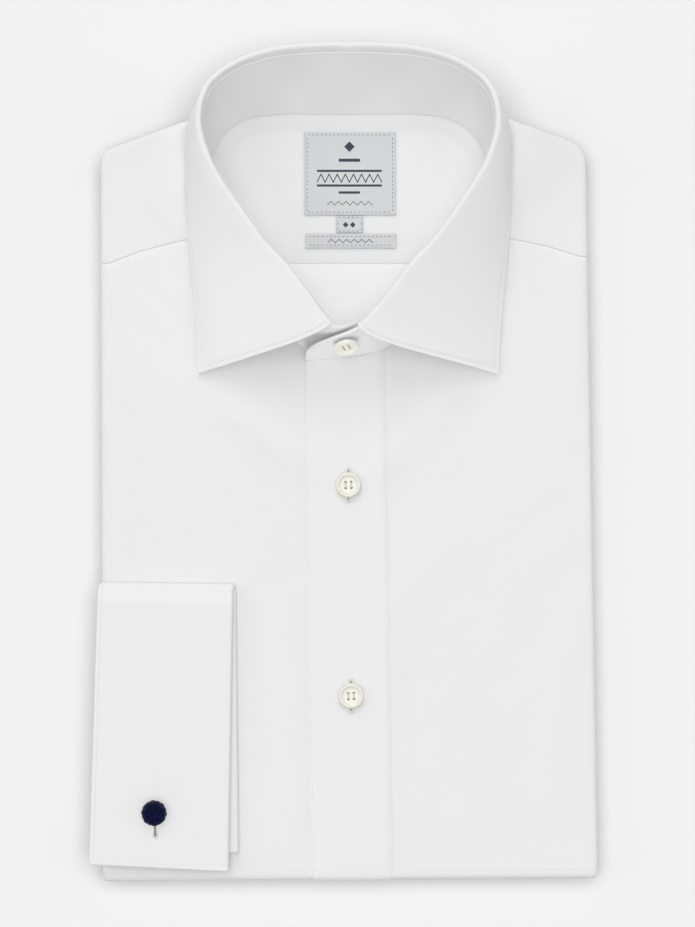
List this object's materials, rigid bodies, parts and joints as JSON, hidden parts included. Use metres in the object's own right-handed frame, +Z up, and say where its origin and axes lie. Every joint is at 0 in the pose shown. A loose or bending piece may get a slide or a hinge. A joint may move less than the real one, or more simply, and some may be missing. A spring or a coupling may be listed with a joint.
{
  "type": "folded dress shirt",
  "caption": "Long sleeve cotton dress shirt folded face up, with a standing spread collar, buttoned front band and one turned-back double cuff held by a silk knot cufflink.",
  "frame": {"origin": "middle of the shirt's footprint, on the surface it lies on", "axes": "+Z up from the surface, +Y from the folded lower end to the collar, +X towards the wearer's left front"},
  "size_m": [0.229, 0.3752, 0.0528],
  "materials": {
    "cloth": "matt white cotton",
    "label": "woven label, light grey",
    "button": "cream, polished",
    "silk": "navy silk cord",
    "metal": "satin"
  },
  "bodies": {
    "root": {"body_fold": "cloth", "front_right": "cloth", "front_left": "cloth", "placket": "cloth", "yoke_outer": "cloth", "yoke_inside": "cloth", "back_inside": "cloth", "collar_stand": "cloth", "collar_leaf": "cloth", "cuff": "cloth", "sleeve_right": "cloth", "label_main": "label", "label_size": "label", "label_strip": "label", "button_collar": "button", "button_front_1": "button", "button_front_2": "button", "cufflink_knot": "silk", "cufflink_bar": "metal"}
  },
  "joints": []
}
